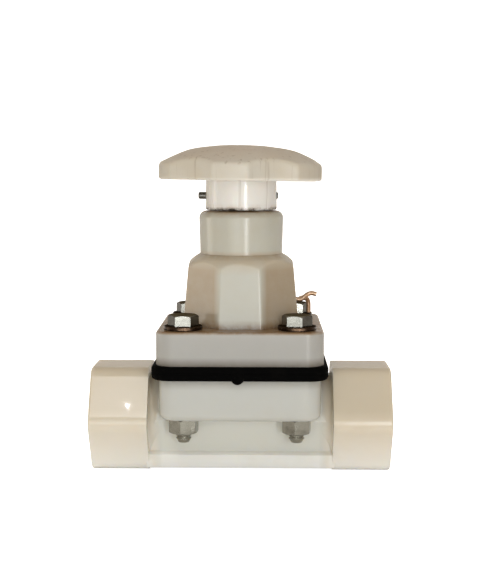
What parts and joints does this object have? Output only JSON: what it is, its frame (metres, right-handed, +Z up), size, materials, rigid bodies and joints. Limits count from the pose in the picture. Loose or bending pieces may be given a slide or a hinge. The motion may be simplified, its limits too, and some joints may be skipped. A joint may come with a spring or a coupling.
{
  "type": "diaphragm valve",
  "caption": "Hand-operated plastic diaphragm valve with hexagonal female-threaded ends, clamped rubber diaphragm, bolted bonnet and lobed handwheel.",
  "frame": {"origin": "centre of the footprint on the ground plane, below the middle of the weir", "axes": "+X along the flow, out of the outlet socket; +Y away from the viewer; +Z up along the spindle"},
  "size_m": [0.127, 0.0724, 0.1381],
  "materials": {
    "body_plastic": "milky moulded polypropylene",
    "bonnet_plastic": "milky moulded polypropylene",
    "wheel_plastic": "milky moulded polypropylene",
    "black_rubber": "matt black rubber",
    "zinc_steel": "zinc plated",
    "plain_steel": "plain turned steel",
    "brass": "turned",
    "copper_wire": "dull copper"
  },
  "bodies": {
    "housing": {"valve_body": "body_plastic", "diaphragm": "black_rubber", "bonnet": "bonnet_plastic", "spindle_bush": "brass", "spindle_seal": "black_rubber", "tag_wire": "copper_wire", "bolt_front_left": "zinc_steel", "bolt_front_right": "zinc_steel", "bolt_rear_left": "zinc_steel", "bolt_rear_right": "zinc_steel", "washer_front_left": "zinc_steel", "washer_front_right": "zinc_steel", "washer_rear_left": "zinc_steel", "washer_rear_right": "zinc_steel", "nut_front_left": "zinc_steel", "nut_front_right": "zinc_steel", "nut_rear_left": "zinc_steel", "nut_rear_right": "zinc_steel"},
    "pusher": {"compressor": "body_plastic", "compressor_pin_left": "zinc_steel", "compressor_pin_right": "zinc_steel", "thrust_washer": "zinc_steel", "diaphragm_stud": "zinc_steel"},
    "wheel": {"handwheel": "wheel_plastic", "handwheel_pin": "plain_steel", "spindle": "plain_steel"}
  },
  "joints": [
    {"name": "compressor_lift", "type": "slide", "parent": "housing", "child": "pusher", "axis": [0, 0, 1], "range_m": [0, 0.0105], "deforming": ["diaphragm"]},
    {"name": "handwheel_turn", "type": "hinge", "parent": "pusher", "child": "wheel", "pos_m": [0, 0, 0.0561], "axis": [0, 0, 1], "range_deg": [0, 1260]}
  ],
  "couplings": [
    {"joint": "handwheel_turn", "follows": "compressor_lift", "rad_per_m": 2094.4}
  ]
}
